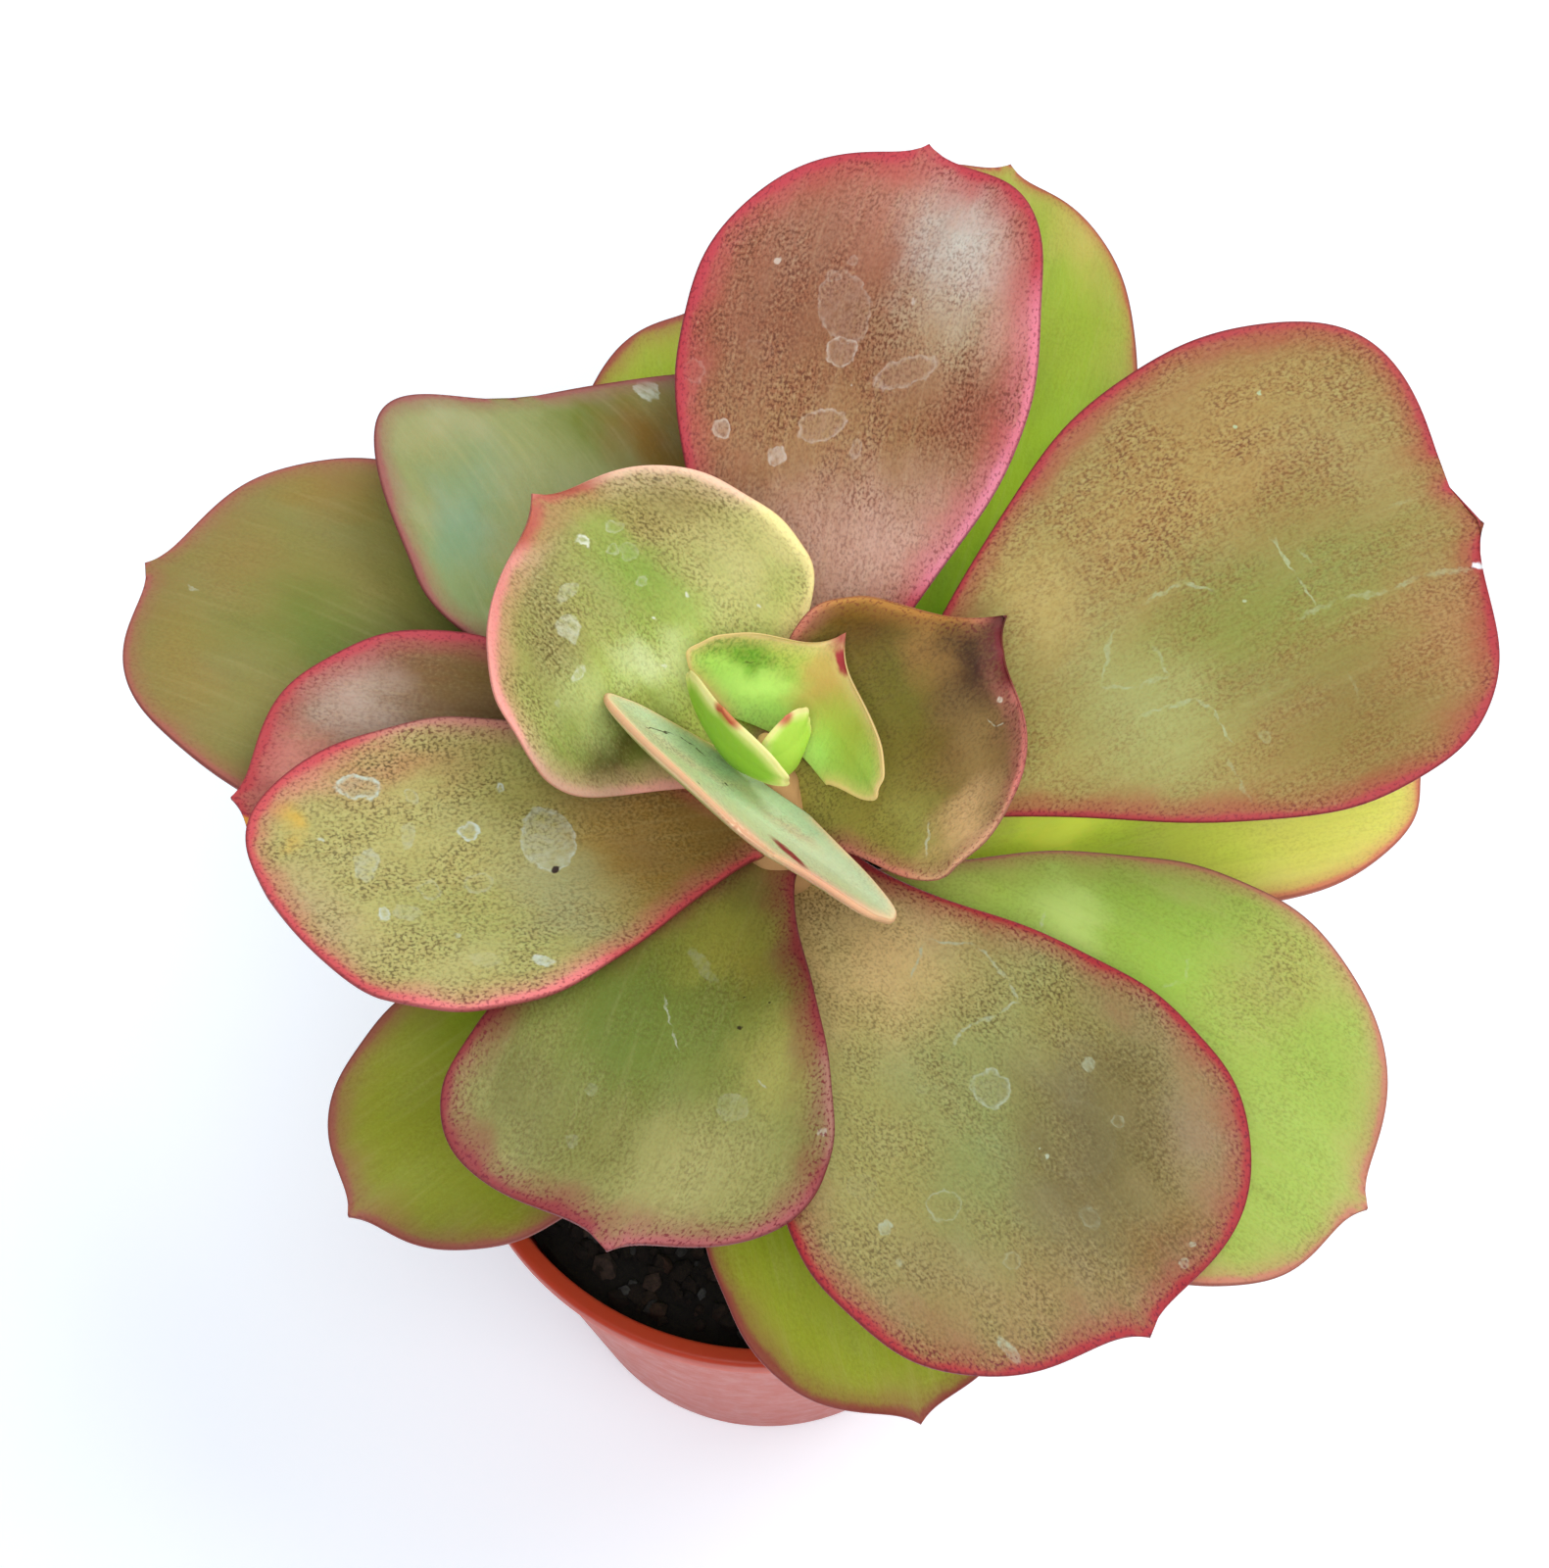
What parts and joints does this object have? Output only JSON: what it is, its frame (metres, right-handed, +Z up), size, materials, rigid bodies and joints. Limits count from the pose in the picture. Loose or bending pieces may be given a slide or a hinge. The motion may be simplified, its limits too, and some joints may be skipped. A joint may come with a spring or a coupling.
{
  "type": "potted echeveria",
  "caption": "Broad-leaved echeveria rosette of fleshy spoon-shaped leaves on a short stem, growing in dark soil in a small tapered terracotta-coloured plastic nursery pot.",
  "frame": {"origin": "centre of the pot's flat base, on the surface that it stands on", "axes": "+Z up, opposite to the base face's outward normal; the picture looks along +Y and down from the -Y side"},
  "size_m": [0.1463, 0.1433, 0.1442],
  "materials": {
    "pot": "satin",
    "soil": "matte",
    "stem": "satin",
    "leaf_young": "satin",
    "leaf_glaucous": "satin",
    "leaf_bronze": "satin",
    "leaf_olive": "satin",
    "leaf_green": "satin"
  },
  "bodies": {
    "root": {"pot": "pot", "soil": "soil", "stem": "stem", "leaf_01": "leaf_young", "leaf_02": "leaf_young", "leaf_03": "leaf_young", "leaf_04": "leaf_glaucous", "leaf_05": "leaf_olive", "leaf_06": "leaf_bronze", "leaf_07": "leaf_bronze", "leaf_08": "leaf_bronze", "leaf_09": "leaf_olive", "leaf_10": "leaf_bronze", "leaf_11": "leaf_bronze", "leaf_12": "leaf_olive", "leaf_13": "leaf_glaucous", "leaf_14": "leaf_olive", "leaf_15": "leaf_green", "leaf_16": "leaf_green", "leaf_17": "leaf_green", "leaf_18": "leaf_green", "leaf_19": "leaf_green", "leaf_20": "leaf_green"}
  },
  "joints": []
}
